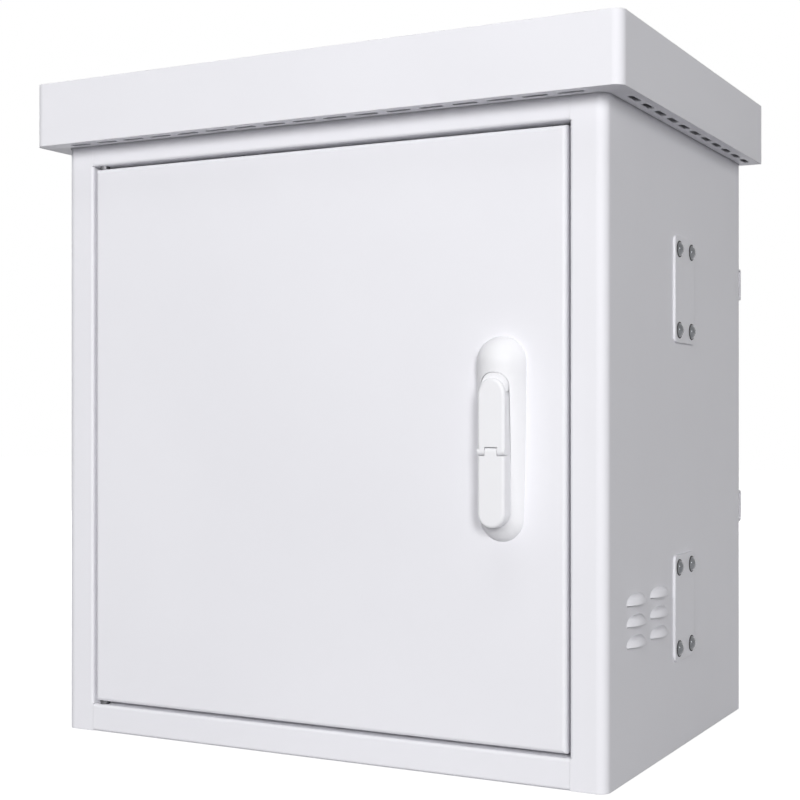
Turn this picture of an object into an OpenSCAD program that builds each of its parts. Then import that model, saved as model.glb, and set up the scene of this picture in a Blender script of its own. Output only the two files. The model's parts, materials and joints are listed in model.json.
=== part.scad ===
// Wall-mount rack cabinet: a welded sheet-steel body with a rain hood, a flush door
// on pivot hinges, a lift-lever latch and rack rails. Units are millimetres.
// Each piece is drawn with x from the middle, y from the front face and z from the floor;
// seat() then moves it so that the origin lies on the wall, midway between the wall bolts.

/* [Body] */
// Width from the rack rails' inner edges to each side of the body
side_room = 75; // [75:1:100]
// Depth of the body, without the wall rails
body_d = 430; // [420:5:500]
// Height of the body, up to its top sheet under the hood
body_h = 655; // [650:5:720]
// Thickness of the body, hood and door sheet
sheet = 1.5; // [1.2:0.1:1.6]
// Outside radius of the rounded front corners
corner_r = 10; // [8:1:12]

/* [Front frame] */
// Width of the frame at the left and right of the door opening
frame_side = 34; // [33:1:36]
// Height of the frame under the door opening
frame_bottom = 28; // [26:1:34]
// Height of the frame that shows between the door opening and the hood
frame_top = 21.5; // [18:0.5:28]
// Outside radius of the fold at the edge of the opening
frame_edge_r = 3; // [2.5:0.25:3.5]
// Depth from the front face to the sealing lip
frame_depth = 26; // [25:0.5:28]
// Width of the sealing lip at the left and right
lip_side = 24; // [23:0.5:25]
// Width of the sealing lip at the top and bottom
lip_level = 14; // [12:0.5:16]

/* [Door] */
// Gap between the door and the frame
door_gap = 3.5; // [3:0.25:4]
// Depth of the door pan
door_depth = 18; // [17:0.5:19]
// Outside radius of the door's front edges
door_r = 4; // [3:0.5:5]
// Width of the flange round the back of the door
door_flange = 20; // [18:1:24]
// Distance of the hinge axis from the door's front and left faces
hinge_in = 7; // [7:0.25:8]
// Diameter of the hinge pins
hinge_pin = 6; // [5:0.5:6]
// Width of the door gasket
gasket_w = 7; // [6:0.5:7.5]

/* [Hood] */
// How far the hood reaches down over the body
hood_lap = 44; // [36:1:50]
// Height of the hood
hood_h = 65; // [60:1:75]
// Overhang of the hood at the front
hood_front = 24; // [20:1:36]
// Overhang of the hood at each side
hood_side = 23; // [20:1:36]
// Overhang of the hood at the back
hood_back = 9.5; // [8:0.5:14]
// Length of a vent slot in the hood's underside
vent_l = 25; // [18:1:26]
// Width of a vent slot
vent_w = 6; // [4:0.5:8]
// Pitch of the vent slots along each side
vent_pitch_side = 37; // [36:0.5:40]
// Pitch of the vent slots along the front
vent_pitch_front = 34; // [33:0.5:38]

/* [Side plates and louvres] */
// Width of a side plate
plate_w = 64; // [60:1:72]
// Height of a side plate
plate_h = 105; // [100:1:115]
// Thickness of a side plate
plate_t = 2.5; // [2:0.25:4]
// Depth from the front face to the middle of the side plates
plate_y = 221; // [215:1:230]
// Height of the lower side plates below the middle of the door opening
plate_drop = 169; // [160:1:178]
// Height of the upper side plates above the middle of the door opening
plate_rise = 145; // [135:1:158]
// Bolt spacing on a side plate, front to back
plate_pitch_y = 40; // [30:1:46]
// Bolt spacing on a side plate, up and down
plate_pitch_z = 80; // [78:1:84]
// Shank diameter of the side-plate bolts
plate_bolt = 8; // [6:1:8]
// Depth from the front face to the middle of the front louvre column
louvre_y = 77; // [72:1:82]
// Distance between the two louvre columns
louvre_pitch_y = 66; // [60:1:68]
// Height of the lowest louvre's mouth
louvre_z = 120; // [112:1:126]
// Distance between louvre rows
louvre_pitch_z = 19; // [16:0.5:22]
// Length of a louvre
louvre_l = 50; // [44:1:52]
// How far a louvre stands out
louvre_out = 8; // [6:0.5:9]
// Height of a louvre
louvre_h = 9; // [8.5:0.5:11]

/* [Wall rails] */
// Height of a wall rail
rail_h = 35; // [32:1:44]
// Depth of a wall rail, from the body to the wall
rail_d = 20; // [15:1:30]
// Height of the lower wall rail's middle
rail_low_z = 227; // [215:1:235]
// Distance between the wall rails
rail_pitch = 250; // [240:5:300]
// Distance between the two wall bolts on a rail
wall_bolt_pitch = 400; // [360:10:420]
// Diameter of the wall-bolt holes
wall_bolt = 10; // [8:0.5:12]

/* [Rack] */
// Clear width between the rack rails
rack_clear = 450; // [450, 500]
// Rack height in units
rack_units = 12; // [10:1:12]
// Depth from the front face to the front rack rails
rack_front = 95; // [85:1:105]
// Depth from the front rack rails to the rear ones
rack_depth = 250; // [240:5:260]
// Thickness of the rack rails and their supports
rack_sheet = 2; // [1.5:0.25:2]

/* [Handle] */
// Height of the handle base
handle_l = 185; // [180:1:195]
// Width of the handle base at its dome
handle_w = 48; // [46:0.5:49]
// Distance of the handle's middle from the door's right edge
handle_in = 61.5; // [58:0.5:66]
// Height of the dome over the lever's pivot
dome_out = 20.5; // [20:0.25:21]
// Height of the base at its foot
mound_out = 12.5; // [12:0.25:13]
// Width of the lever
lever_w = 26.6; // [25:0.2:27]
// How far the lever's face stands out from the door
lever_out = 25; // [24.5:0.25:26]
// Turn of the lever from closed to fully lifted, in degrees
lift_turn = 30; // [25:1:30]

/* [Latch] */
// Radius of the lever's crank
crank_r = 41; // [40.5:0.25:42]
// Width of the latch bar
bar_w = 25; // [24:0.5:30]
// Thickness of the latch bar
bar_t = 3; // [2.5:0.25:3]
// How far each tongue reaches behind the lip
tongue_lap = 8; // [6:0.5:8.5]
// Height of a tongue
tongue_h = 14; // [12:0.5:14]

/* [Hidden] */
$fn = 48;
rack_unit = 44.45;
rack_pitch = rack_clear + 15.1;
rack_face = 39;
running = 0.05;
clear = 0.3;
bend_r = 2;

// Body, door opening and door outline
body_w = rack_clear + 2 * side_room;
open_x = body_w / 2 - frame_side;
open_z0 = frame_bottom;
open_z1 = body_h - hood_lap - frame_top;
open_mid = (open_z0 + open_z1) / 2;
lip_x = open_x - lip_side;
door_x = open_x - door_gap;
door_z0 = open_z0 + door_gap;
door_z1 = open_z1 - door_gap;
hinge_x = -door_x + hinge_in;
plate_low_z = open_mid - plate_drop;
plate_high_z = open_mid + plate_rise;
bush_r = hinge_pin / 2 + 2;

// Hood
hood_z = body_h - hood_lap;
hood_clear = 1.2;
hood_post = [body_w / 2 - 60, 70, body_d - 70];
hood_nut_h = 6;
hood_bolt = 6;

// Handle places, measured from the handle's middle unless they say otherwise
handle_x = door_x - handle_in;
handle_z = open_mid;
handle_end = handle_l / 2 - handle_w / 2;
pivot_out = 10;
pivot_z = 46;
pivot_pin = 5;
hub_r = 16.6;
hub_crown = lever_w / 2 + 0.2;
lever_gap = 0.4;
lever_back = 11.5;
lever_foot = -79;
flap_t = 4.1;
core_out = lever_out - flap_t - lever_gap;
knuckle_r = 3.4;
knuckle_w = 11.6;
flap_pin_d = 3;
flap_pin_z = -11;
shoulder_z = flap_pin_z - knuckle_r - 0.5;
lock_z = 17;
lock_d = 12;
cam_l = 16.5;
cam_t = 2.5;
cam_out = 8.5;
stem_d = 8;
flap_rise = 16.5;
lever_r = 3;

// Latch bar
bar_y = frame_depth + sheet + 1;
bar_short = 39.25;
bar_half = (door_z1 - door_z0) / 2 - bar_short;
lift_drop = 2 * crank_r * sin(lift_turn / 2);
crank_tip = 7;
tongue_in = 33;
tongue_z = [tongue_in - bar_half, 0, bar_half - tongue_in];
stud_z = [-bar_half / 2 - 1, bar_half / 2 + 1];
stud_d = 8;
notch_x = lip_x + tongue_lap + 1.5;

// Rack rails and supports
rack_h = rack_units * rack_unit + 6;
web_x = rack_clear / 2 + rack_face;
support_web = 50;
support_leg = 18;
support_l = rack_depth + 10;

// Gland plate
gland_w = 300;
gland_d = 140;
gland_lap = 20;
gland_y = body_d - 120;
gland_t = 2;
grommet_r = 15;

seat_y = -(body_d + rail_d);
seat_z = -(rail_low_z + rail_pitch / 2);

paint = [0.90, 0.90, 0.92];
zinc = [0.74, 0.75, 0.77];
steel = [0.80, 0.81, 0.83];
rubber = [0.10, 0.10, 0.11];
mould = [0.93, 0.93, 0.95];

// Moves a piece from the drawing frame to the wall frame
module seat() {
    translate([0, seat_y, seat_z]) children();
}

// Keeps a piece or mirrors it to the left side
module on_side(left) {
    mirror([left ? 1 : 0, 0, 0]) children();
}

// Section of a folded sheet along a path of square corners, bent to the mean radii in bends
module folded(path, bends, t) {
    last = len(path) - 1;
    for (i = [0 : last - 1]) {
        u = (path[i + 1] - path[i]) / norm(path[i + 1] - path[i]);
        a = path[i] + u * (i == 0 ? 0 : bends[i]);
        b = path[i + 1] - u * (i == last - 1 ? 0 : bends[i + 1]);
        translate(a) rotate(atan2(u.y, u.x)) translate([0, -t / 2]) square([norm(b - a), t]);
    }
    for (i = [1 : last - 1]) {
        u = (path[i] - path[i - 1]) / norm(path[i] - path[i - 1]);
        v = (path[i + 1] - path[i]) / norm(path[i + 1] - path[i]);
        s = u - v;
        r = bends[i];
        translate(path[i] - u * r + v * r) intersection() {
            difference() {
                circle(r + t / 2);
                circle(r - t / 2);
            }
            translate([min(0, s.x) * (r + t), min(0, s.y) * (r + t)]) square(r + t);
        }
    }
}

// Extrudes a section drawn in depth and height along x, centred
module along_x(length) {
    rotate([90, 0, 90]) linear_extrude(length, center = true) children();
}

// Extrudes a section drawn in width and height along y, from y0
module along_y(y0, length) {
    translate([0, y0 + length, 0]) rotate([90, 0, 0]) linear_extrude(length) children();
}

// Round bar or hole along y
module rod_y(d, length) {
    rotate([-90, 0, 0]) cylinder(d = d, h = length);
}

// Round bar or hole along x, centred
module rod_x(d, length) {
    rotate([0, 90, 0]) cylinder(d = d, h = length, center = true);
}

// Rectangle with its two front corners rounded, centred in x
module front_rounded(w, d, r) {
    translate([-w / 2, r]) square([w, d - r]);
    translate([-w / 2 + r, 0]) square([w - 2 * r, r]);
    for (s = [-1, 1]) translate([s * (w / 2 - r), r]) circle(r);
}

// Slot with round ends along x, centred
module slot(l, w) {
    square([l - w, w], center = true);
    for (s = [-1, 1]) translate([s * (l - w) / 2, 0]) circle(d = w);
}

// Profile of a louvre that turns about an upright axis behind the sheet
module louvre_profile(r, turn_r, drop) {
    if (drop > 0) translate([0, -drop]) square([r, drop]);
    intersection() {
        square([r, turn_r]);
        union() {
            square([r - turn_r, turn_r]);
            translate([r - turn_r, 0]) circle(turn_r);
        }
    }
}

// One louvre at the right side sheet: skin is 0 for the pressed dome, sheet for its hollow
module louvre(skin) {
    r = (louvre_l * louvre_l / 4 + louvre_out * louvre_out) / (2 * louvre_out);
    turn_r = (louvre_h * louvre_h + louvre_out * louvre_out) / (2 * louvre_out);
    intersection() {
        translate([body_w / 2 + louvre_out - r, 0, 0]) rotate_extrude()
            louvre_profile(r - skin, turn_r - skin, skin == 0 ? 0 : 1);
        translate([body_w / 2 - sheet * (skin == 0 ? 1 : 2), -louvre_l, -1])
            cube([louvre_out * 3, louvre_l * 2, louvre_h * 2]);
    }
}

module louvre_places() {
    for (i = [0, 1], k = [0 : 2])
        translate([0, louvre_y + i * louvre_pitch_y, louvre_z + k * louvre_pitch_z]) children();
}

// The four bolt places of a side plate at the right side, as axes along x
module plate_places(z) {
    for (i = [-1, 1], k = [-1, 1])
        translate([0, plate_y + i * plate_pitch_y / 2, z + k * plate_pitch_z / 2]) children();
}

// Right side sheet: wall, rounded corner, frame face, return and sealing lip in one fold
module side_panel(left) {
    t = sheet;
    wall = [body_w / 2 - t / 2, body_d];
    corner = [body_w / 2 - t / 2, t / 2];
    edge = [open_x + t / 2, t / 2];
    root = [open_x + t / 2, frame_depth + t / 2];
    color(paint) on_side(left) difference() {
        union() {
            for (z = [[0, open_z0], [open_z1, body_h]])
                translate([0, 0, z[0]]) linear_extrude(z[1] - z[0])
                    folded([wall, corner, [open_x, t / 2]], [0, corner_r - t / 2, 0], t);
            translate([0, 0, open_z0]) linear_extrude(open_z1 - open_z0)
                folded([wall, corner, edge, root, [lip_x, frame_depth + t / 2]],
                    [0, corner_r - t / 2, frame_edge_r - t / 2, bend_r, 0], t);
            louvre_places() louvre(0);
        }
        louvre_places() louvre(t);
        for (z = [plate_low_z, plate_high_z])
            plate_places(z) translate([body_w / 2, 0, 0]) rod_x(plate_bolt + 0.4, 20);
        if (!left) for (z = tongue_z)
            translate([lip_x - 1, frame_depth - 1, handle_z + z - lift_drop - tongue_h / 2 - 1])
                cube([notch_x - lip_x + 1, sheet + 2, tongue_h + 2]);
    }
}

// Front frame, return and lip of the floor or top sheet; up is 1 for the floor, -1 for the top
module cross_frame(z_out, z_open, up) {
    t = sheet;
    start = [40, z_out + up * t / 2];
    corner = [t / 2, z_out + up * t / 2];
    edge = [t / 2, z_open - up * t / 2];
    root = [frame_depth + t / 2, z_open - up * t / 2];
    bends = [0, bend_r, frame_edge_r - t / 2, bend_r, 0];
    along_x(2 * open_x)
        folded([start, corner, edge, [frame_depth, z_open - up * t / 2]], bends, t);
    along_x(2 * lip_x)
        folded([start, corner, edge, root, [frame_depth + t / 2, z_open + up * lip_level]], bends, t);
}

// Flat of the floor or top sheet inside the two side sheets
module cross_flat(z) {
    translate([0, sheet, z]) linear_extrude(sheet)
        front_rounded(body_w - 2 * sheet, body_d - 2 * sheet, corner_r - sheet);
}

module gland_screw_places() {
    for (x = [-1, 0, 1], s = [-1, 1])
        translate([x * (gland_w / 2 - gland_lap / 2), gland_y + s * (gland_d - gland_lap) / 2, 0])
            children();
}

module floor_panel() {
    color(paint) difference() {
        union() {
            cross_frame(0, open_z0, 1);
            cross_flat(0);
        }
        translate([-gland_w / 2 + gland_lap, gland_y - gland_d / 2 + gland_lap, -1])
            cube([gland_w - 2 * gland_lap, gland_d - 2 * gland_lap, sheet + 2]);
        gland_screw_places() translate([0, 0, -1]) cylinder(d = 5, h = sheet + 2);
        translate([hinge_x, hinge_in, open_z0 - 10]) cylinder(d = hinge_pin, h = 20);
    }
}

module top_panel() {
    color(paint) difference() {
        union() {
            cross_frame(body_h, open_z1, -1);
            cross_flat(body_h - sheet);
        }
        for (k = [-3 : 3], s = [-1, 1])
            translate([k * 45, body_d / 2 + s * 60, body_h - sheet - 1])
                linear_extrude(sheet + 2) rotate(90) slot(50, vent_w);
        for (s = [-1, 1], y = [hood_post[1], hood_post[2]])
            translate([s * hood_post[0], y, body_h - 10]) cylinder(d = hood_bolt + 0.4, h = 20);
        translate([hinge_x, hinge_in, open_z1 - 10]) cylinder(d = hinge_pin, h = 20);
    }
}

module wall_bolt_places() {
    for (s = [-1, 1], z = [rail_low_z, rail_low_z + rail_pitch])
        translate([s * wall_bolt_pitch / 2, body_d - 10, z]) children();
}

module back_panel() {
    color(paint) difference() {
        translate([-body_w / 2 + sheet, body_d - sheet, 0]) cube([body_w - 2 * sheet, sheet, body_h]);
        wall_bolt_places() rod_y(wall_bolt, rail_d + 20);
    }
}

// Channel whose web lies on the wall and whose legs are welded to the back
module wall_rail(z) {
    t = 2;
    y0 = body_d;
    y1 = body_d + rail_d - t / 2;
    zr = rail_h / 2 - t / 2;
    color(paint) difference() {
        translate([0, 0, z]) along_x(body_w - 6)
            folded([[y0, -zr], [y1, -zr], [y1, zr], [y0, zr]], [0, bend_r + 1, bend_r + 1, 0], t);
        wall_bolt_places() rod_y(wall_bolt, rail_d + 20);
    }
}

// Skirt of the hood with rounded front corners and a slotted flange close to the body
module rain_hood() {
    w = body_w + 2 * hood_side;
    d = body_d + hood_front + hood_back;
    t = sheet;
    color(paint) translate([0, -hood_front, hood_z]) difference() {
        linear_extrude(hood_h) front_rounded(w, d, corner_r);
        translate([0, t, t]) linear_extrude(hood_h) front_rounded(w - 2 * t, d - 2 * t, corner_r - t);
        translate([0, hood_front - hood_clear, -1]) linear_extrude(t + 2)
            front_rounded(body_w + 2 * hood_clear, body_d + 2 * hood_clear, corner_r + hood_clear);
        for (s = [-1, 1], k = [0 : 10])
            translate([s * (body_w + hood_side) / 2, hood_front + 40 + k * vent_pitch_side, -1])
                linear_extrude(t + 2) rotate(90) slot(vent_l, vent_w);
        for (k = [-8 : 8])
            translate([k * vent_pitch_front, hood_front / 2, -1])
                linear_extrude(t + 2) slot(vent_l, vent_w);
    }
}

// Top sheet of the hood, welded in flush with the skirt's upper edge
module hood_top() {
    w = body_w + 2 * hood_side - 2 * sheet;
    d = body_d + hood_front + hood_back - 2 * sheet;
    color(paint) translate([0, sheet - hood_front, hood_z + hood_h - sheet])
        linear_extrude(sheet) front_rounded(w, d, corner_r - sheet);
}

module hood_posts(z0, z1, d, sides) {
    for (s = [-1, 1], y = [hood_post[1], hood_post[2]])
        translate([s * hood_post[0], y, z0]) cylinder(d = d, h = z1 - z0, $fn = sides);
}

module hood_spacers() {
    z1 = hood_z + hood_h - sheet - hood_nut_h;
    color(steel) difference() {
        hood_posts(body_h, z1, 16, 48);
        hood_posts(body_h - 1, z1 + 1, hood_bolt + 0.4, 48);
    }
}

module hood_nuts() {
    z1 = hood_z + hood_h - sheet;
    color(zinc) difference() {
        hood_posts(z1 - hood_nut_h, z1, 13, 6);
        hood_posts(z1 - hood_nut_h - 1, z1 - 0.5, hood_bolt, 48);
    }
}

module hood_bolts() {
    z1 = hood_z + hood_h - sheet;
    color(zinc) {
        hood_posts(body_h - sheet - 4, body_h - sheet, 11.5, 6);
        hood_posts(body_h - sheet, z1 - 1, hood_bolt, 48);
    }
}

// Flat plate with rounded corners against the side sheet
module side_plate(left, z) {
    r = 6;
    color(paint) on_side(left) difference() {
        translate([body_w / 2, plate_y, z]) rotate([90, 0, 90]) linear_extrude(plate_t) {
            square([plate_w - 2 * r, plate_h], center = true);
            square([plate_w, plate_h - 2 * r], center = true);
            for (i = [-1, 1], k = [-1, 1])
                translate([i * (plate_w / 2 - r), k * (plate_h / 2 - r)]) circle(r);
        }
        plate_places(z) translate([body_w / 2, 0, 0]) rod_x(plate_bolt + 0.4, 20);
    }
}

// Dome-head bolt along x, its seat at x = 0
module dome_bolt(shank) {
    head_r = plate_bolt * 0.9;
    head_h = plate_bolt * 0.55;
    rim = plate_bolt * 0.08;
    dome_r = cap_ball(head_r, head_h - rim);
    rotate([0, 90, 0]) {
        rotate_extrude() intersection() {
            translate([0, head_h - dome_r]) circle(dome_r);
            square([head_r, head_h]);
        }
        translate([0, 0, -shank]) cylinder(d = plate_bolt, h = shank + 1);
    }
}

module plate_bolts(left) {
    color(steel) on_side(left) for (z = [plate_low_z, plate_high_z]) plate_places(z)
        translate([body_w / 2 + plate_t, 0, 0]) dome_bolt(plate_t + sheet + rack_sheet + 9);
}

module plate_nuts(left) {
    color(zinc) on_side(left) for (z = [plate_low_z, plate_high_z]) plate_places(z)
        translate([body_w / 2 - sheet - rack_sheet, 0, 0]) rotate([0, -90, 0]) difference() {
            union() {
                cylinder(d = plate_bolt * 1.9, h = 1.4);
                cylinder(d = plate_bolt * 1.75, h = 6.5, $fn = 6);
            }
            translate([0, 0, -1]) cylinder(d = plate_bolt, h = 9);
        }
}

// Channel that carries the rack rails; its middle reaches the side sheet with a foot above and below
module rail_support(left, z) {
    t = rack_sheet;
    wall = body_w / 2 - sheet - t / 2;
    web = web_x + t / 2;
    leg = support_web / 2 - t / 2;
    y0 = rack_front + rack_depth / 2 - support_l / 2;
    color(zinc) on_side(left) difference() {
        translate([0, 0, z]) {
            along_y(y0, support_l)
                folded([[web_x + support_leg, -leg], [web, -leg], [web, leg], [web_x + support_leg, leg]],
                    [0, bend_r, bend_r, 0], t);
            for (s = [-1, 1]) along_y(plate_y - plate_w / 2, plate_w)
                folded([[web, 0], [web, s * leg], [wall, s * leg], [wall, s * plate_h / 2]],
                    [0, bend_r, bend_r, 0], t);
        }
        plate_places(z) translate([body_w / 2, 0, 0]) rod_x(plate_bolt + 0.4, 20);
        for (rear = [false, true]) rack_screw_places(rear, z) rod_x(6, 20);
    }
}

module rack_screw_places(rear, z) {
    for (k = [-1, 1])
        translate([web_x, rear ? rack_front + rack_depth - 20 : rack_front + 20, z + k * 14]) children();
}

// Angle with three square holes to each rack unit; the rear rails face the back
module rack_rail(left, rear) {
    t = rack_sheet;
    z0 = open_mid - rack_units * rack_unit / 2;
    s = rear ? -1 : 1;
    y = rear ? rack_front + rack_depth : rack_front;
    color(zinc) on_side(left) difference() {
        translate([0, 0, open_mid - rack_h / 2]) linear_extrude(rack_h)
            folded([[rack_clear / 2, y + s * t / 2], [web_x - t / 2, y + s * t / 2],
                [web_x - t / 2, y + s * 38]], [0, bend_r, 0], t);
        for (u = [0 : rack_units - 1], h = [6.35, 22.225, 38.1])
            translate([rack_pitch / 2, y, z0 + u * rack_unit + h]) cube(9.5, center = true);
        for (z = [plate_low_z, plate_high_z]) rack_screw_places(rear, z) rod_x(6, 20);
    }
}

module rack_rail_screws() {
    color(steel) for (left = [false, true], rear = [false, true], z = [plate_low_z, plate_high_z])
        on_side(left) rack_screw_places(rear, z) {
            translate([-rack_sheet, 0, 0]) rotate([0, -90, 0]) cylinder(d = 11, h = 3);
            translate([5 - rack_sheet, 0, 0]) rod_x(6, 10);
        }
}

module grommet_places() {
    for (k = [-1.5 : 1.5]) translate([k * 55, gland_y, 0]) children();
}

module gland_plate() {
    color(zinc) difference() {
        translate([-gland_w / 2, gland_y - gland_d / 2, sheet]) cube([gland_w, gland_d, gland_t]);
        gland_screw_places() cylinder(d = 5, h = 20);
        grommet_places() cylinder(r = grommet_r, h = 20);
    }
}

module gland_plate_screws() {
    color(steel) gland_screw_places() {
        translate([0, 0, 0.2]) cylinder(d = 5, h = sheet + gland_t - 0.2);
        translate([0, 0, sheet + gland_t]) cylinder(d = 9, h = 3);
    }
}

// Blind rubber grommets: a grooved rim with a thin skin across it
module cable_grommets() {
    z = sheet;
    color(rubber) grommet_places() rotate_extrude() {
        translate([0, z + gland_t / 2 - 0.75]) square([grommet_r - 3, 1.5]);
        translate([grommet_r - 4, z]) square([4, gland_t]);
        translate([grommet_r - 4, z - 1.2]) square([7, 1.2]);
        translate([grommet_r - 4, z + gland_t]) square([7, 2.5]);
    }
}

module louvre_filter(left) {
    color(rubber) on_side(left)
        translate([body_w / 2 - sheet - 6, louvre_y - louvre_l / 2 - 4, louvre_z - 6])
            cube([6, louvre_l + louvre_pitch_y + 8, 2 * louvre_pitch_z + louvre_h + 10]);
}

// Pivot pin through the frame's return: up is 1 at the floor, -1 at the top
module hinge_pivot(z, up) {
    color(steel) translate([hinge_x, hinge_in, z]) mirror([0, 0, up < 0 ? 1 : 0]) {
        translate([0, 0, -sheet - 4]) cylinder(d = hinge_pin + 4, h = 4);
        translate([0, 0, -sheet]) cylinder(d = hinge_pin, h = sheet + door_gap + 14);
        cylinder(d = hinge_pin + 4, h = door_gap - clear - 0.2);
    }
}

module hinge_bush(z, up) {
    color(steel) translate([hinge_x, hinge_in, z]) mirror([0, 0, up < 0 ? 1 : 0]) difference() {
        translate([0, 0, -0.2]) cylinder(r = bush_r, h = 14);
        translate([0, 0, -1]) cylinder(d = hinge_pin + 2 * running, h = 20);
    }
}

// Block with rounded front edges on all four sides, from the front face to depth y1
module door_block(inset, y0, y1, r) {
    w = 2 * (door_x - inset);
    h = door_z1 - door_z0 - 2 * inset;
    z = (door_z0 + door_z1) / 2;
    intersection() {
        translate([0, y0, z]) linear_extrude(h, center = true) front_rounded(w, y1 - y0, r);
        translate([0, y0, z]) along_x(w) mirror([1, -1]) front_rounded(h, y1 - y0, r);
    }
}

module handle_screw_places() {
    for (z = [-handle_end - 3, handle_end + 8]) translate([handle_x, 0, handle_z + z]) children();
}

module bar_stud_places() {
    for (z = stud_z) translate([handle_x, 0, handle_z + z]) children();
}

// Folded pan with a return flange, slotted for the crank and drilled for the hinges and handle
module door_panel() {
    t = sheet;
    f = door_flange;
    h = door_z1 - door_z0;
    color(paint) difference() {
        door_block(0, 0, door_depth, door_r);
        door_block(t, t, door_depth - t, door_r - t);
        translate([-door_x + f, door_depth - 2 * t, door_z0 + f])
            cube([2 * (door_x - f), 3 * t, h - 2 * f]);
        for (z = [door_z0, door_z1])
            translate([hinge_x, hinge_in, z - 5]) cylinder(r = bush_r + running, h = 10);
        translate([handle_x - 4, -1, handle_z + pivot_z - 9.5]) cube([8, 4, 19]);
        handle_screw_places() translate([0, -1, 0]) rod_y(5 + 2 * running, 6);
    }
}

module door_gasket() {
    y0 = door_depth;
    y1 = frame_depth - clear;
    x0 = hinge_x + 0.5;
    x1 = notch_x + 0.5 + gasket_w;
    z0 = door_z0 + 1.5;
    z1 = door_z1 - 1.5;
    g = gasket_w;
    color(rubber) difference() {
        translate([x0, y0, z0]) cube([x1 - x0, y1 - y0, z1 - z0]);
        translate([x0 + g, y0 - 1, z0 + g]) cube([x1 - x0 - 2 * g, y1 - y0 + 2, z1 - z0 - 2 * g]);
    }
}

// Moves a handle piece from the handle's middle to its place on the door
module at_handle() {
    translate([handle_x, 0, handle_z]) children();
}

// Round-ended bar along z from z = 0 to z = l, the middles of its end balls
module capsule(r, l) {
    rotate_extrude() intersection() {
        union() {
            square([r, l]);
            circle(r);
            translate([0, l]) circle(r);
        }
        translate([0, -r]) square([r, l + 2 * r]);
    }
}

// Radius of the ball whose cap of height h has the plan radius r
function cap_ball(r, h) = (r * r + h * h) / (2 * h);

// Half section of the crowned hub, turned about the pivot
module hub_section(gap) {
    intersection() {
        union() {
            translate([hub_r - hub_crown, 0]) circle(hub_crown + gap);
            translate([0, -lever_w]) square([hub_r - hub_crown, 2 * lever_w]);
        }
        translate([0, -lever_w / 2 - gap]) square([hub_r + gap, lever_w + 2 * gap]);
    }
}

// Crowned hub about the pivot; a0 and a1 are turns from straight out towards the top
module hub(gap, a0, a1) {
    translate([0, -pivot_out, pivot_z]) rotate([0, 90, 0]) rotate([0, 0, -90 - a1])
        rotate_extrude(angle = a1 - a0) hub_section(gap);
}

// Bar with rounded front edges and a round foot, from y = -out to y = -back
module lever_bar(out, back, z0, z1) {
    w = lever_w;
    translate([0, -out, z0]) linear_extrude(z1 - z0) front_rounded(w, out - back, lever_r);
}

module lever_foot_end(out, back) {
    w = lever_w;
    translate([0, 0, lever_foot + w / 2]) rotate([90, 0, 0]) translate([0, 0, back])
        rotate([0, 0, 180]) rotate_extrude(angle = 180) {
            square([w / 2 - lever_r, out - back]);
            square([w / 2, out - back - lever_r]);
            translate([w / 2 - lever_r, out - back - lever_r]) circle(lever_r);
        }
}

// Base moulding: a dome over the pivot falling away to a low foot, with a bed for the lever
module handle_base() {
    bed_w = lever_w + 2.4 * lever_gap;
    bed_y = lever_back - lever_gap;
    foot_z = lever_foot + lever_w / 2;
    dome = cap_ball(handle_w / 2, dome_out);
    foot_r = sqrt((2 * dome - mound_out) * mound_out);
    foot_at = foot_r - handle_l / 2;
    run = handle_end - foot_at;
    color(mould) at_handle() difference() {
        translate([0, dome - mound_out, foot_at]) rotate([atan2(dome_out - mound_out, run), 0, 0])
            capsule(dome, norm([dome_out - mound_out, run]));
        translate([-handle_w, 0, -handle_l]) cube([2 * handle_w, 2 * handle_w, 2 * handle_l]);
        hub(lever_gap, -60, 115);
        along_y(-40, 40 - bed_y) {
            translate([-bed_w / 2, foot_z]) square([bed_w, pivot_z - foot_z]);
            translate([0, foot_z]) circle(d = bed_w);
        }
        translate([0, -pivot_out, pivot_z]) rod_x(pivot_pin, 32);
        translate([-3.6, -pivot_out - 2, pivot_z - 12]) cube([7.2, pivot_out + 3, 24]);
        along_y(-bed_y - 1, bed_y + 1 + cam_t + 0.4 - cam_out) {
            translate([-3.7, lock_z - cam_l - 0.7]) square([7.4, cam_l]);
            translate([0, lock_z]) circle(d = stem_d + 2.4);
        }
        along_y(-cam_out - clear, cam_t + clear + 0.4) translate([0, lock_z]) intersection() {
            circle(cam_l + 0.7);
            translate([-2 * cam_l, -2 * cam_l]) square([4 * cam_l, 2 * cam_l + 3.7]);
        }
        for (z = [-handle_end - 3, handle_end + 8]) translate([0, -7, z]) rod_y(5, 10);
    }
}

module handle_screws() {
    color(steel) handle_screw_places() {
        translate([0, -6.5, 0]) rod_y(5, 6.5 + sheet);
        translate([0, sheet, 0]) rod_y(9.5, 3.5);
    }
}

module lever_pin() {
    color(steel) at_handle() translate([0, -pivot_out, pivot_z]) rod_x(pivot_pin, 31.6);
}

// Shouldered studs that carry the latch bar and let it slide
module bar_studs() {
    color(steel) bar_stud_places() {
        translate([0, sheet, 0]) rod_y(stud_d + 6, bar_y - clear - sheet);
        translate([0, sheet, 0]) rod_y(stud_d, bar_y + bar_t + clear - sheet);
        translate([0, bar_y + bar_t + clear, 0]) rod_y(stud_d + 6, 3);
    }
}

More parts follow.
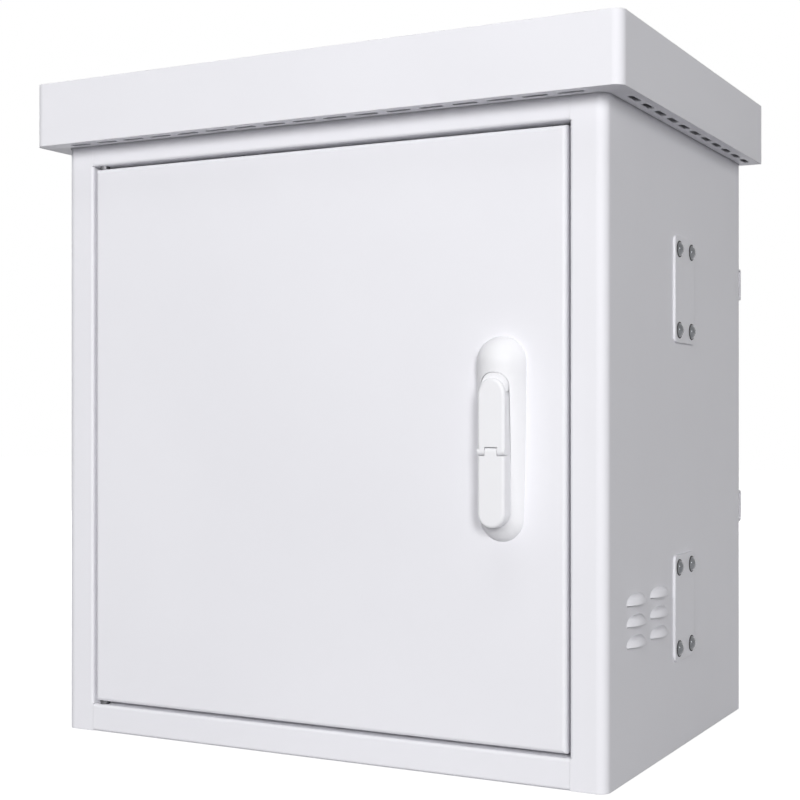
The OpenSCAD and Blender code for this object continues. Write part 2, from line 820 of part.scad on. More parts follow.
// Lever: grip below the split, core under the flap, hub on the pivot and crank through the door
module handle_lever() {
    w = lever_w;
    core_w = w - 0.2;
    rise = core_out - pivot_out - hub_r + hub_crown;
    neck = sqrt(hub_crown * hub_crown - rise * rise) - 0.2;
    rest = lift_turn / 2;
    color(mould) at_handle() difference() {
        union() {
            lever_bar(lever_out, lever_back, lever_foot + w / 2, shoulder_z);
            lever_foot_end(lever_out, lever_back);
            along_y(-core_out, core_out - lever_back) polygon([
                [-core_w / 2, shoulder_z], [core_w / 2, shoulder_z], [core_w / 2, pivot_z - 8],
                [neck, pivot_z], [-neck, pivot_z], [-core_w / 2, pivot_z - 8]]);
            intersection() {
                hub(0, -30, 78);
                translate([-w, -core_out, pivot_z - 2 * w]) cube([2 * w, 2 * core_out, 4 * w]);
            }
            translate([0, -lever_out + knuckle_r, flap_pin_z]) rod_x(2 * knuckle_r, knuckle_w);
            translate([-knuckle_w / 2, -lever_out, shoulder_z - 1])
                cube([knuckle_w, 2 * knuckle_r, flap_pin_z - shoulder_z + 1]);
            translate([0, -pivot_out, pivot_z]) rotate([rest, 0, 0]) {
                translate([-3, 0, -4]) cube([6, crank_r - crank_tip / 2, 8]);
                translate([0, crank_r, 0]) rod_x(crank_tip, 6);
                translate([-3, crank_r - crank_tip / 2 - 0.5, -2.5]) cube([6, crank_tip / 2, 5]);
            }
            translate([0, -pivot_out, pivot_z]) rod_x(14, 6);
        }
        for (s = [-1, 1])
            translate([s * (knuckle_w + 20) / 2, -lever_out + knuckle_r, flap_pin_z])
                rod_x(2 * knuckle_r + 0.8, 20);
        translate([0, -lever_out + knuckle_r, flap_pin_z]) rod_x(flap_pin_d + 2 * running, knuckle_w + 2);
        translate([0, -pivot_out, pivot_z]) rod_x(pivot_pin + 2 * running, w + 2);
        translate([0, -lever_out, lock_z]) rod_y(lock_d + 2 * running, lever_out);
    }
}

// Outline of the flap, drawn in by inset: straight sides and a tall round head
module flap_plan(inset) {
    r = lever_w / 2 - inset;
    z1 = pivot_z - 8;
    translate([-r, flap_pin_z - lever_w]) square([2 * r, z1 - flap_pin_z + lever_w]);
    translate([0, z1]) scale([1, (flap_rise - inset) / r]) circle(r);
}

// Cover of the lock: the upper half of the lever's face, hinged on the knuckle at the split
module lock_flap() {
    w = lever_w;
    color(mould) at_handle() difference() {
        union() {
            intersection() {
                hull() {
                    along_y(-lever_out + flap_t - 0.01, 0.01) flap_plan(0);
                    for (a = [0 : 15 : 90])
                        along_y(-lever_out + lever_r * (1 - sin(a)), 0.01) flap_plan(lever_r * (1 - cos(a)));
                }
                union() {
                    translate([-w, -2 * lever_out, flap_pin_z]) cube([2 * w, 2 * lever_out, pivot_z - flap_pin_z]);
                    translate([0, -pivot_out, pivot_z]) rod_x(2 * hub_r - 0.4, w);
                }
            }
            translate([0, -lever_out + knuckle_r, flap_pin_z]) rod_x(2 * knuckle_r, w);
        }
        translate([-knuckle_w / 2 - clear, -lever_out - 1, flap_pin_z - knuckle_r - 1])
            cube([knuckle_w + 2 * clear, 12, 2 * knuckle_r + 1.5]);
        translate([0, -lever_out + knuckle_r, flap_pin_z]) rod_x(flap_pin_d, w - 2);
    }
}

module flap_pin() {
    color(steel) at_handle() translate([0, -lever_out + knuckle_r, flap_pin_z])
        rod_x(flap_pin_d, lever_w - 2.4);
}

// Lock plug with a key slot and a cam that turns into the base
module lock_plug() {
    color(steel) at_handle() translate([0, 0, lock_z]) difference() {
        union() {
            translate([0, -core_out, 0]) rod_y(lock_d, core_out - lever_back);
            translate([0, -lever_back, 0]) rod_y(stem_d, lever_back - cam_out + cam_t);
            translate([-3, -cam_out, -cam_l]) cube([6, cam_t, cam_l]);
        }
        translate([-0.8, -core_out - 1, -3.5]) cube([1.6, 4, 7]);
    }
}

// Flat bar with three tongues, slots for the studs and a window for the crank
module latch_bar() {
    window_z = pivot_z + crank_r * sin(lift_turn / 2);
    color(zinc) translate([handle_x, bar_y, handle_z]) difference() {
        union() {
            translate([-bar_w / 2, 0, -bar_half]) cube([bar_w, bar_t, 2 * bar_half]);
            for (z = tongue_z) translate([0, 0, z - tongue_h / 2])
                cube([lip_x + tongue_lap - handle_x, bar_t, tongue_h]);
        }
        for (z = stud_z) translate([0, -1, z + lift_drop / 2]) rotate([-90, 0, 0])
            linear_extrude(bar_t + 2) rotate(90)
                slot(stud_d + lift_drop + 2 * clear + 0.2, stud_d + 2 * clear);
        translate([-5, -1, window_z - crank_tip / 2 - 0.2]) cube([10, bar_t + 2, crank_tip + 0.4]);
    }
}

seat() side_panel(true);  // side_panel_left
seat() side_panel(false);  // side_panel_right
seat() top_panel();
seat() floor_panel();
seat() back_panel();
seat() rain_hood();
seat() hood_top();
seat() hood_spacers();
seat() hood_nuts();
seat() hood_bolts();
seat() wall_rail(rail_low_z + rail_pitch);  // wall_rail_upper
seat() wall_rail(rail_low_z);  // wall_rail_lower
seat() side_plate(true, plate_high_z);  // side_plate_left_upper
seat() side_plate(true, plate_low_z);  // side_plate_left_lower
seat() side_plate(false, plate_high_z);  // side_plate_right_upper
seat() side_plate(false, plate_low_z);  // side_plate_right_lower
seat() plate_bolts(true);  // plate_bolts_left
seat() plate_bolts(false);  // plate_bolts_right
seat() plate_nuts(true);  // plate_nuts_left
seat() plate_nuts(false);  // plate_nuts_right
seat() rail_support(true, plate_high_z);  // rail_support_left_upper
seat() rail_support(true, plate_low_z);  // rail_support_left_lower
seat() rail_support(false, plate_high_z);  // rail_support_right_upper
seat() rail_support(false, plate_low_z);  // rail_support_right_lower
seat() rack_rail(true, false);  // rack_rail_front_left
seat() rack_rail(false, false);  // rack_rail_front_right
seat() rack_rail(true, true);  // rack_rail_rear_left
seat() rack_rail(false, true);  // rack_rail_rear_right
seat() rack_rail_screws();
seat() gland_plate();
seat() gland_plate_screws();
seat() cable_grommets();
seat() louvre_filter(true);  // louvre_filter_left
seat() louvre_filter(false);  // louvre_filter_right
seat() hinge_pivot(open_z1, -1);  // hinge_pin_upper
seat() hinge_pivot(open_z0, 1);  // hinge_pin_lower
seat() door_panel();
seat() door_gasket();
seat() hinge_bush(door_z1, -1);  // hinge_bush_upper
seat() hinge_bush(door_z0, 1);  // hinge_bush_lower
seat() handle_base();
seat() handle_screws();
seat() lever_pin();
seat() bar_studs();
seat() handle_lever();
seat() lock_flap();
seat() flap_pin();
seat() lock_plug();
seat() latch_bar();
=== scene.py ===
import json
import math

import bpy
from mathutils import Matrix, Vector


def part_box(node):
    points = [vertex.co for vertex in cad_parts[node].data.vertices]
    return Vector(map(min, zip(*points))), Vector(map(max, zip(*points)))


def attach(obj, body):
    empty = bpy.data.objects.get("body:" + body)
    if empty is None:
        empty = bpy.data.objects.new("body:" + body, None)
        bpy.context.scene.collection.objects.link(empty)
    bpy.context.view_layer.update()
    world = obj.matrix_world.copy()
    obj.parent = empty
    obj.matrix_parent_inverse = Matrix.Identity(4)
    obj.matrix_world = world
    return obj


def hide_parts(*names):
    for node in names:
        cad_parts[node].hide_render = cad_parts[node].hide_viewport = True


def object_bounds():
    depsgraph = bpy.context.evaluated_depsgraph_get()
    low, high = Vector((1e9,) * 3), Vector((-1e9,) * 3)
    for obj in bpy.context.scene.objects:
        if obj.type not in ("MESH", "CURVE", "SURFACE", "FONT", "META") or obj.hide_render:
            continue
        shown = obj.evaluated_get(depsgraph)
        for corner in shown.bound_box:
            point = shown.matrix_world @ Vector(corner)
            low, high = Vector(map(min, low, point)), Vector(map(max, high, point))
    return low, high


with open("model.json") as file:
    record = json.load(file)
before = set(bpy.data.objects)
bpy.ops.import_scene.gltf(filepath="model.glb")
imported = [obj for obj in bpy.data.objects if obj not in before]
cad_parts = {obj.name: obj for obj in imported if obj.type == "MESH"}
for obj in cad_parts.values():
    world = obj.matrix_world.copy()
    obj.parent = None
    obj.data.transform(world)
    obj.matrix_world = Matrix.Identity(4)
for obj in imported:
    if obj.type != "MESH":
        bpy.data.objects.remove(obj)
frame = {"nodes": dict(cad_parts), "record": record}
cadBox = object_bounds()
nodes = frame["nodes"]
scene = bpy.context.scene
scene.view_settings.view_transform = "Standard"
print("frame loaded,", len(nodes), "nodes")


# level camera, a little to the right of the door, as in the photograph
cameraSpec = {
    "place": (0.7459, -1.6735, -0.0198),
    "turn": 27.928,
    "lens": 66.905,
    "sensor": 36.0,
    "shiftY": 0.01595,
    "farthest": 60.0,
}


def placeCamera(spec):
    data = bpy.data.cameras.new("camera")
    data.lens = spec["lens"]
    data.sensor_width = spec["sensor"]
    data.shift_y = spec["shiftY"]
    data.clip_end = spec["farthest"]
    camera = bpy.data.objects.new("camera", data)
    camera.location = spec["place"]
    camera.rotation_euler = (math.radians(90.0), 0.0, math.radians(spec["turn"]))
    scene.collection.objects.link(camera)
    scene.camera = camera


placeCamera(cameraSpec)
print("camera placed")


# small helpers for node trees
def newFinish(name):
    mat = bpy.data.materials.new(name)
    mat.use_nodes = True
    tree = mat.node_tree
    coords = tree.nodes.new("ShaderNodeTexCoord")
    return mat, tree, tree.nodes["Principled BSDF"], coords.outputs["Object"]


def noise(tree, coords, scale, detail=2.0):
    texture = tree.nodes.new("ShaderNodeTexNoise")
    texture.inputs["Scale"].default_value = scale
    texture.inputs["Detail"].default_value = detail
    tree.links.new(coords, texture.inputs["Vector"])
    return texture.outputs["Fac"]


def cells(tree, coords, scale, out="Distance"):
    texture = tree.nodes.new("ShaderNodeTexVoronoi")
    texture.inputs["Scale"].default_value = scale
    tree.links.new(coords, texture.inputs["Vector"])
    return texture.outputs[out]


# colour from deep to pale, between two places on the texture
def tinted(tree, shader, fac, spec):
    ramp = tree.nodes.new("ShaderNodeValToRGB")
    colours = (spec["deep"], spec["pale"])
    for element, place, colour in zip(ramp.color_ramp.elements, spec["stops"], colours):
        element.position = place
        element.color = (*colour, 1.0)
    tree.links.new(fac, ramp.inputs["Fac"])
    tree.links.new(ramp.outputs["Color"], shader.inputs["Base Color"])


def dulled(tree, shader, fac, spec):
    spread = tree.nodes.new("ShaderNodeMapRange")
    spread.inputs["To Min"].default_value, spread.inputs["To Max"].default_value = spec["dull"]
    tree.links.new(fac, spread.inputs["Value"])
    tree.links.new(spread.outputs["Result"], shader.inputs["Roughness"])


# fine relief, over softened edges where the finish has them
def grained(tree, shader, height, spec):
    bump = tree.nodes.new("ShaderNodeBump")
    bump.inputs["Strength"].default_value, bump.inputs["Distance"].default_value = spec["relief"]
    tree.links.new(height, bump.inputs["Height"])
    if "edge" in spec:
        bevel = tree.nodes.new("ShaderNodeBevel")
        bevel.samples = 4
        bevel.inputs["Radius"].default_value = spec["edge"]
        tree.links.new(bevel.outputs["Normal"], bump.inputs["Normal"])
    tree.links.new(bump.outputs["Normal"], shader.inputs["Normal"])


coatSpec = {
    "pale": (0.845, 0.842, 0.880), "deep": (0.825, 0.822, 0.860), "stops": (0.3, 0.7),
    "wave": 5.0, "peel": 620.0, "dull": (0.40, 0.48), "relief": (0.05, 0.0004),
    "edge": 0.0009, "shine": 0.12,
}


def powderCoat(spec):
    mat, tree, shader, coords = newFinish("powderCoat")
    tinted(tree, shader, noise(tree, coords, spec["wave"]), spec)
    peel = noise(tree, coords, spec["peel"])
    dulled(tree, shader, peel, spec)
    grained(tree, shader, peel, spec)
    shader.inputs["Specular IOR Level"].default_value = spec["shine"]
    return mat


mouldSpec = {
    "pale": (0.862, 0.862, 0.885), "deep": (0.848, 0.848, 0.871), "stops": (0.3, 0.7),
    "cloud": 18.0, "grain": 1500.0, "dull": (0.36, 0.44), "relief": (0.03, 0.0003),
    "edge": 0.0006, "shine": 0.18,
}


def mouldedPlastic(spec):
    mat, tree, shader, coords = newFinish("mouldedPlastic")
    tinted(tree, shader, noise(tree, coords, spec["cloud"]), spec)
    grain = noise(tree, coords, spec["grain"], 3.0)
    dulled(tree, shader, grain, spec)
    grained(tree, shader, grain, spec)
    shader.inputs["Specular IOR Level"].default_value = spec["shine"]
    return mat


zincSpec = {
    "pale": (0.53, 0.54, 0.56), "deep": (0.44, 0.45, 0.47), "stops": (0.2, 0.8),
    "flake": 130.0, "haze": 60.0, "dull": (0.30, 0.46), "fine": 900.0,
    "relief": (0.06, 0.0003), "edge": 0.0004,
}


def zincPlate(spec):
    mat, tree, shader, coords = newFinish("zincPlate")
    shader.inputs["Metallic"].default_value = 1.0
    tinted(tree, shader, cells(tree, coords, spec["flake"], "Color"), spec)
    dulled(tree, shader, noise(tree, coords, spec["haze"], 3.0), spec)
    grained(tree, shader, noise(tree, coords, spec["fine"]), spec)
    return mat


steelSpec = {
    "pale": (0.44, 0.45, 0.47), "deep": (0.36, 0.37, 0.39), "stops": (0.3, 0.7),
    "smear": 240.0, "dull": (0.16, 0.24), "fine": 2200.0, "relief": (0.02, 0.0002),
    "edge": 0.0004,
}
darkReflectionDomeSpec = {  # the dome heads outside get a darker copy of the screws' steel: painted dark reflection, standing for dark surroundings mirrored in the domes
    **steelSpec, "pale": (0.18, 0.185, 0.195), "deep": (0.14, 0.145, 0.155),
    "dull": (0.08, 0.13),
}


def brightSteel(name, spec):
    mat, tree, shader, coords = newFinish(name)
    shader.inputs["Metallic"].default_value = 1.0
    smear = noise(tree, coords, spec["smear"], 3.0)
    tinted(tree, shader, smear, spec)
    dulled(tree, shader, smear, spec)
    grained(tree, shader, noise(tree, coords, spec["fine"]), spec)
    return mat


blackSpec = {
    "pale": (0.150, 0.150, 0.158), "deep": (0.100, 0.100, 0.106), "stops": (0.3, 0.7),
    "smear": 300.0, "dull": (0.38, 0.52),
}


def blackSteel(spec):
    mat, tree, shader, coords = newFinish("blackSteel")
    shader.inputs["Metallic"].default_value = 1.0
    smear = noise(tree, coords, spec["smear"], 3.0)
    tinted(tree, shader, smear, spec)
    dulled(tree, shader, smear, spec)
    return mat


rubberSpec = {
    "pale": (0.030, 0.030, 0.032), "deep": (0.012, 0.012, 0.013), "stops": (0.3, 0.75),
    "bloom": 40.0, "pore": 900.0, "dull": (0.60, 0.80), "relief": (0.25, 0.0005),
}


def blackRubber(spec):
    mat, tree, shader, coords = newFinish("blackRubber")
    tinted(tree, shader, noise(tree, coords, spec["bloom"], 4.0), spec)
    pore = noise(tree, coords, spec["pore"], 3.0)
    dulled(tree, shader, pore, spec)
    grained(tree, shader, pore, spec)
    return mat


foamSpec = {
    "pale": (0.055, 0.055, 0.060), "deep": (0.008, 0.008, 0.009), "stops": (0.15, 0.6),
    "pore": 520.0, "dull": (0.95, 0.80), "relief": (0.8, 0.001),
}


def filterFoam(spec):
    mat, tree, shader, coords = newFinish("filterFoam")
    pore = cells(tree, coords, spec["pore"])
    tinted(tree, shader, pore, spec)
    dulled(tree, shader, pore, spec)
    grained(tree, shader, pore, spec)
    return mat


finishes = {
    "paint": powderCoat(coatSpec),
    "moulding": mouldedPlastic(mouldSpec),
    "zinc": zincPlate(zincSpec),
    "bright_steel": brightSteel("brightSteel", steelSpec),
    "black_steel": blackSteel(blackSpec),
    "rubber": blackRubber(rubberSpec),
    "filter_foam": filterFoam(foamSpec),
}

for part in frame["record"]["subparts"]:
    obj = nodes[part["node"]]
    obj.data.materials.clear()
    obj.data.materials.append(finishes[part["material_slot"]])

# darker steel on the plate bolts, a painted dark reflection on the dome heads
darkReflectionDomeSteel = brightSteel("darkReflectionDomeSteel", darkReflectionDomeSpec)
for node in ("plate_bolts_left", "plate_bolts_right"):
    nodes[node].data.materials[0] = darkReflectionDomeSteel
print("finishes given to the CAD nodes")


# small helpers for modelled pieces
hair = 1e-5  # lengths under this count as none


def alone(obj):
    bpy.ops.object.select_all(action="DESELECT")
    obj.select_set(True)
    bpy.context.view_layer.objects.active = obj


def settled(obj):
    alone(obj)
    bpy.ops.object.transform_apply(location=True, rotation=True, scale=True)


def joined(name, pieces):
    alone(pieces[0])
    for piece in pieces:
        piece.select_set(True)
    bpy.ops.object.join()
    whole = bpy.context.object
    settled(whole)
    whole.name = name
    whole.data.name = name
    return whole


def copied(master, place, turn):
    twin = master.copy()
    twin.data = master.data.copy()
    twin.location = place
    twin.rotation_euler = [math.radians(t) for t in turn]
    scene.collection.objects.link(twin)
    return twin


def dropped(obj):
    mesh = obj.data
    bpy.data.objects.remove(obj)
    bpy.data.meshes.remove(mesh)


# leaves edit mode on, with what passes the test selected
def picked(obj, mode, test):
    bpy.ops.object.mode_set(mode="EDIT")
    bpy.ops.mesh.select_mode(type=mode)
    bpy.ops.mesh.select_all(action="DESELECT")
    bpy.ops.object.mode_set(mode="OBJECT")
    mesh = obj.data
    things = {"VERT": mesh.vertices, "EDGE": mesh.edges, "FACE": mesh.polygons}[mode]
    for thing in things:
        thing.select = test(thing)
    bpy.ops.object.mode_set(mode="EDIT")


def closedShell():
    bpy.ops.mesh.select_all(action="SELECT")
    bpy.ops.mesh.normals_make_consistent(inside=False)
    bpy.ops.object.mode_set(mode="OBJECT")


def dressed(piece, slot, body, angle=40.0):
    alone(piece)
    bpy.ops.object.shade_smooth_by_angle(angle=math.radians(angle))
    piece.data.materials.clear()
    piece.data.materials.append(finishes[slot])
    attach(piece, body)


plateHeights = (-0.21225, 0.10175)  # middles of the side plates and of the rail supports

# black rubber rings round the dome heads on the side plates, one set to a side: painted shade, a
# dark rim of gap shade and dark reflection round each head
domeRimShadeSpec = {
    "x": 0.3029, "y": -0.229, "stepY": 0.020, "stepZ": 0.040,
    "ring": 0.00770, "bead": 0.00052, "around": 40, "across": 10,
}


# one painted shade ring round each dome head
def domeRimShade(name, side, spec):
    rings = []
    for z in plateHeights:
        for stepY in (-spec["stepY"], spec["stepY"]):
            for stepZ in (-spec["stepZ"], spec["stepZ"]):
                bpy.ops.object.select_all(action="DESELECT")
                bpy.ops.mesh.primitive_torus_add(
                    major_radius=spec["ring"], minor_radius=spec["bead"],
                    major_segments=spec["around"], minor_segments=spec["across"],
                    location=(side * spec["x"], spec["y"] + stepY, z + stepZ),
                    rotation=(0.0, math.radians(90.0), 0.0))
                rings.append(bpy.context.object)
    dressed(joined(name, rings), "rubber", "cabinet")


for name, side in (("domeRimShadeRight", 1.0), ("domeRimShadeLeft", -1.0)):
    domeRimShade(name, side, domeRimShadeSpec)
# the rings made here are painted shade rims round the dome heads
print("bolt seals made")


# foam seal round the door, flat where it is glued and round where it meets the frame
doorSealSpec = {"width": 0.007, "round": 0.0029, "steps": 5, "shortest": 0.05}


def doorSeal(spec):
    low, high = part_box("door_gasket")
    bpy.ops.object.select_all(action="DESELECT")
    bpy.ops.mesh.primitive_plane_add(
        size=1.0, location=((low[0] + high[0]) / 2, low[1], (low[2] + high[2]) / 2),
        rotation=(math.radians(90.0), 0.0, 0.0))
    seal = bpy.context.object
    seal.scale = (high[0] - low[0], high[2] - low[2], 1.0)
    settled(seal)
    bpy.ops.object.mode_set(mode="EDIT")
    bpy.ops.mesh.select_all(action="SELECT")
    bpy.ops.mesh.inset(thickness=spec["width"], depth=0.0)
    bpy.ops.mesh.delete(type="FACE")
    bpy.ops.mesh.select_all(action="SELECT")
    thick = (0.0, high[1] - low[1], 0.0)
    bpy.ops.mesh.extrude_region_move(TRANSFORM_OT_translate={"value": thick})
    closedShell()
    points = seal.data.vertices

    # long straight edges of the face that meets the frame, without the mitres
    def onRim(edge):
        first, last = (points[i].co for i in edge.vertices)
        straight = min(abs(first.x - last.x), abs(first.z - last.z)) < hair
        isLong = (first - last).length > spec["shortest"]
        return min(first.y, last.y) > high[1] - hair and straight and isLong

    picked(seal, "EDGE", onRim)
    bpy.ops.mesh.bevel(offset=spec["round"], segments=spec["steps"], affect="EDGES")
    closedShell()
    seal.name = "doorSeal"
    seal.data.name = "doorSeal"
    dressed(seal, "rubber", "door")
    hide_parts("door_gasket")


doorSeal(doorSealSpec)
print("door seal made")


# pan-head screws with a cross recess, each size modelled once at the origin; round, slotLong
# and slotWide are shares of the head
screwShape = {
    "sides": 36, "tip": 0.0006, "round": 0.55, "steps": 5, "slotLong": 1.10, "slotWide": 0.24,
}


def panScrew(spec, shape):
    bpy.ops.object.select_all(action="DESELECT")
    bpy.ops.mesh.primitive_cylinder_add(
        vertices=shape["sides"], radius=spec["head"], depth=spec["tall"],
        location=(0.0, 0.0, spec["tall"] / 2))
    screw = bpy.context.object
    settled(screw)
    picked(screw, "FACE", lambda face: face.normal.z < -0.9)
    bpy.ops.mesh.inset(thickness=spec["head"] - spec["shank"], depth=0.0)
    down = (0.0, 0.0, -spec["long"])
    bpy.ops.mesh.extrude_region_move(TRANSFORM_OT_translate={"value": down})
    bpy.ops.mesh.inset(thickness=shape["tip"], depth=0.0)
    bpy.ops.object.mode_set(mode="OBJECT")
    points = screw.data.vertices
    crown = spec["tall"] - hair
    picked(screw, "EDGE", lambda edge: min(points[i].co.z for i in edge.vertices) > crown)
    bpy.ops.mesh.bevel(
        offset=spec["tall"] * shape["round"], segments=shape["steps"], affect="EDGES")
    closedShell()
    for turn in (0.0, 90.0):
        cutAcross(screw, spec, shape, turn)
    return screw


def cutAcross(screw, spec, shape, turn):
    bpy.ops.object.select_all(action="DESELECT")
    bpy.ops.mesh.primitive_cube_add(
        size=1.0, location=(0.0, 0.0, spec["tall"]), rotation=(0.0, 0.0, math.radians(turn)))
    cutter = bpy.context.object
    head = spec["head"]
    cutter.scale = (head * shape["slotLong"], head * shape["slotWide"], spec["tall"])
    settled(cutter)
    alone(screw)
    cut = screw.modifiers.new("recess", "BOOLEAN")
    cut.operation = "DIFFERENCE"
    cut.solver = "EXACT"
    cut.object = cutter
    bpy.ops.object.modifier_apply(modifier=cut.name)
    dropped(cutter)


def screwSet(name, node, body, spec, places):
    master = panScrew(spec, screwShape)
    screws = joined(name, [copied(master, place, turn) for place, turn in places])
    dressed(screws, "bright_steel", body, 30.0)
    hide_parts(node)
    dropped(master)


rackScrewSpec = {
    "head": 0.0055, "tall": 0.0030, "shank": 0.0030, "long": 0.0100,
    "x": 0.262, "y": (-0.335, -0.125), "step": 0.014, "turn": 17.0,
}


def rackPlaces(spec):
    return [((side * spec["x"], y, z + step), (0.0, -90.0 * side, spec["turn"] * side))
            for side in (-1.0, 1.0) for y in spec["y"] for z in plateHeights
            for step in (-spec["step"], spec["step"])]


glandScrewSpec = {
    "head": 0.0045, "tall": 0.0030, "shank": 0.0025, "long": 0.0033,
    "x": (-0.14, 0.0, 0.14), "y": (-0.20, -0.08), "z": -0.3485, "turn": 25.0, "spread": 900.0,
}


# no two recesses are left at the same turn
def glandPlaces(spec):
    return [((x, y, spec["z"]), (0.0, 0.0, spec["turn"] + spec["spread"] * (x + y)))
            for x in spec["x"] for y in spec["y"]]


handleScrewSpec = {
    "head": 0.00475, "tall": 0.0035, "shank": 0.0025, "long": 0.0080,
    "x": 0.201, "y": -0.4485, "z": (-0.11475, 0.03325),
}


def handlePlaces(spec):
    return [((spec["x"], spec["y"], z), (-90.0, 0.0, 0.0)) for z in spec["z"]]


screwSet("rackScrews", "rack_rail_screws", "cabinet", rackScrewSpec, rackPlaces(rackScrewSpec))
screwSet("glandScrews", "gland_plate_screws", "cabinet", glandScrewSpec,
         glandPlaces(glandScrewSpec))
screwSet("handleScrews", "handle_screws", "door", handleScrewSpec, handlePlaces(handleScrewSpec))
print("screws made")


# painted stitch welds where the wall rails meet the back panel
weldSpec = {
    "long": 0.034, "fat": 0.0021, "sides": 12, "rings": 11, "pinch": 0.80, "endPinch": 0.45,
    "x": (-0.235, -0.080, 0.080, 0.235), "y": -0.0193, "off": 0.0004,
}


def stitchWeld(spec):
    bpy.ops.object.select_all(action="DESELECT")
    bpy.ops.mesh.primitive_cylinder_add(
        vertices=spec["sides"], radius=spec["fat"], depth=spec["long"])
    weld = bpy.context.object
    settled(weld)
    points = weld.data.vertices

    def lengthwise(edge):
        first, last = (points[i].co for i in edge.vertices)
        return abs(first.z - last.z) > hair

    picked(weld, "EDGE", lengthwise)
    bpy.ops.mesh.subdivide(number_cuts=spec["rings"])
    bpy.ops.object.mode_set(mode="OBJECT")
    lastRing = spec["rings"] + 1
    step = spec["long"] / lastRing
    for ring in range(0, lastRing + 1, 2):  # every other ring is drawn in, the ends most
        height = ring * step - spec["long"] / 2
        small = spec["endPinch"] if ring in (0, lastRing) else spec["pinch"]
        picked(weld, "VERT", lambda vert: abs(vert.co.z - height) < step / 3)
        bpy.ops.transform.resize(
            value=(small, small, 1.0), center_override=(0.0, 0.0, height))
        bpy.ops.object.mode_set(mode="OBJECT")
    smooth = weld.modifiers.new("smooth", "SUBSURF")
    smooth.levels = 1
    smooth.render_levels = 1
    alone(weld)
    bpy.ops.object.modifier_apply(modifier=smooth.name)
    return weld


def railWelds(name, node, spec):
    low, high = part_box(node)
    master = stitchWeld(spec)
    edges = (low[2] - spec["off"], high[2] + spec["off"])
    places = [((x, spec["y"], z), (0.0, 90.0, 0.0)) for x in spec["x"] for z in edges]
    welds = joined(name, [copied(master, place, turn) for place, turn in places])
    dressed(welds, "paint", "cabinet", 60.0)
    dropped(master)


railWelds("weldsUpper", "wall_rail_upper", weldSpec)
railWelds("weldsLower", "wall_rail_lower", weldSpec)
print("welds made")


# soft studio light
lightSpec = {
    "key": {"place": (3.76, -5.42, 1.45), "aim": (0.1, -0.45, 0.0),
            "size": (1.2, 2.0), "power": 210.2},
    "front": {"place": (0.2, -6.40, 2.30), "aim": (0.0, -0.45, 0.0),
              "size": (3.6, 2.4), "power": 185.6},
    "top": {"place": (0.2, -2.40, 5.40), "aim": (0.0, -0.45, 0.0),
            "size": (2.2, 1.4), "power": 36.0},
    "side": {"place": (3.2, -0.70, 0.50), "aim": (0.3, -0.30, 0.0),
             "size": (0.4, 0.8), "power": 5.0},
    "back": {"place": (-1.5, 2.60, 0.90), "aim": (0.0, 0.0, 0.0),
             "size": (2.0, 2.0), "power": 80.0},
}


def areaLight(name, spec):
    data = bpy.data.lights.new(name, "AREA")
    data.shape = "RECTANGLE"
    data.size, data.size_y = spec["size"]
    data.energy = spec["power"]
    lamp = bpy.data.objects.new(name, data)
    lamp.location = spec["place"]
    ray = Vector(spec["aim"]) - Vector(spec["place"])
    lamp.rotation_euler = ray.to_track_quat("-Z", "Y").to_euler()
    scene.collection.objects.link(lamp)


for name, spec in lightSpec.items():
    areaLight(name, spec)

worldSpec = {"fill": (0.80, 0.80, 0.82), "strength": 0.06, "shown": (1.0, 1.0, 1.0)}


# 1 for camera, glossy and transmission rays, 0 for the rays that light the cabinet
def seenDirectly(tree):
    path = tree.nodes.new("ShaderNodeLightPath")
    first = tree.nodes.new("ShaderNodeMath")
    first.operation = "MAXIMUM"
    tree.links.new(path.outputs["Is Camera Ray"], first.inputs[0])
    tree.links.new(path.outputs["Is Glossy Ray"], first.inputs[1])
    second = tree.nodes.new("ShaderNodeMath")
    second.operation = "MAXIMUM"
    tree.links.new(first.outputs["Value"], second.inputs[0])
    tree.links.new(path.outputs["Is Transmission Ray"], second.inputs[1])
    return second.outputs["Value"]


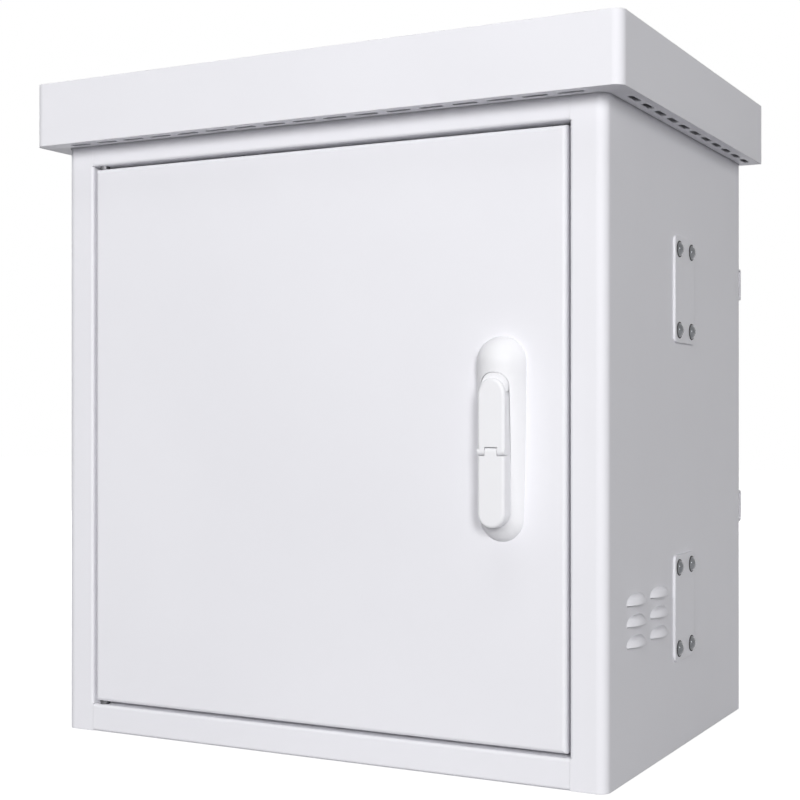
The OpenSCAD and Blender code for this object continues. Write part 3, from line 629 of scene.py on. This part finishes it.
def studioWorld(spec):
    world = bpy.data.worlds.new("studio")
    world.use_nodes = True
    tree = world.node_tree
    fill = tree.nodes["Background"]
    fill.inputs["Color"].default_value = (*spec["fill"], 1.0)
    fill.inputs["Strength"].default_value = spec["strength"]
    shown = tree.nodes.new("ShaderNodeBackground")
    shown.inputs["Color"].default_value = (*spec["shown"], 1.0)
    mix = tree.nodes.new("ShaderNodeMixShader")
    tree.links.new(seenDirectly(tree), mix.inputs["Fac"])
    tree.links.new(fill.outputs["Background"], mix.inputs[1])
    tree.links.new(shown.outputs["Background"], mix.inputs[2])
    tree.links.new(mix.outputs["Shader"], tree.nodes["World Output"].inputs["Surface"])
    scene.world = world


studioWorld(worldSpec)

# pale floor that keeps the cabinet's shadow and runs out to white
floorSpec = {
    "size": 14.0, "y": -0.2, "drop": 0.0005, "colour": (0.30, 0.30, 0.31), "dull": 0.9,
    "near": 0.85, "far": 1.0, "reach": 1.3,
}


def paleFloor(spec):
    bpy.ops.object.select_all(action="DESELECT")
    bpy.ops.mesh.primitive_plane_add(
        size=spec["size"], location=(0.0, spec["y"], cadBox[0][2] - spec["drop"]))
    floor = bpy.context.object
    floor.name = "floor"
    mat, tree, shader, coords = newFinish("paleFloor")
    shader.inputs["Base Color"].default_value = (*spec["colour"], 1.0)
    shader.inputs["Roughness"].default_value = spec["dull"]
    shader.inputs["Specular IOR Level"].default_value = 0.0
    away = tree.nodes.new("ShaderNodeVectorMath")  # distance from under the cabinet
    away.operation = "LENGTH"
    tree.links.new(coords, away.inputs[0])
    fade = tree.nodes.new("ShaderNodeMapRange")
    fade.inputs["From Max"].default_value = spec["reach"]
    fade.inputs["To Min"].default_value = spec["near"]
    fade.inputs["To Max"].default_value = spec["far"]
    tree.links.new(away.outputs["Value"], fade.inputs["Value"])
    glow = tree.nodes.new("ShaderNodeEmission")
    tree.links.new(fade.outputs["Result"], glow.inputs["Strength"])
    both = tree.nodes.new("ShaderNodeAddShader")
    tree.links.new(shader.outputs["BSDF"], both.inputs[0])
    tree.links.new(glow.outputs["Emission"], both.inputs[1])
    mix = tree.nodes.new("ShaderNodeMixShader")
    tree.links.new(seenDirectly(tree), mix.inputs["Fac"])
    tree.links.new(shader.outputs["BSDF"], mix.inputs[1])
    tree.links.new(both.outputs["Shader"], mix.inputs[2])
    tree.links.new(mix.outputs["Shader"], tree.nodes["Material Output"].inputs["Surface"])
    floor.data.materials.append(mat)


paleFloor(floorSpec)
print("light and floor placed")
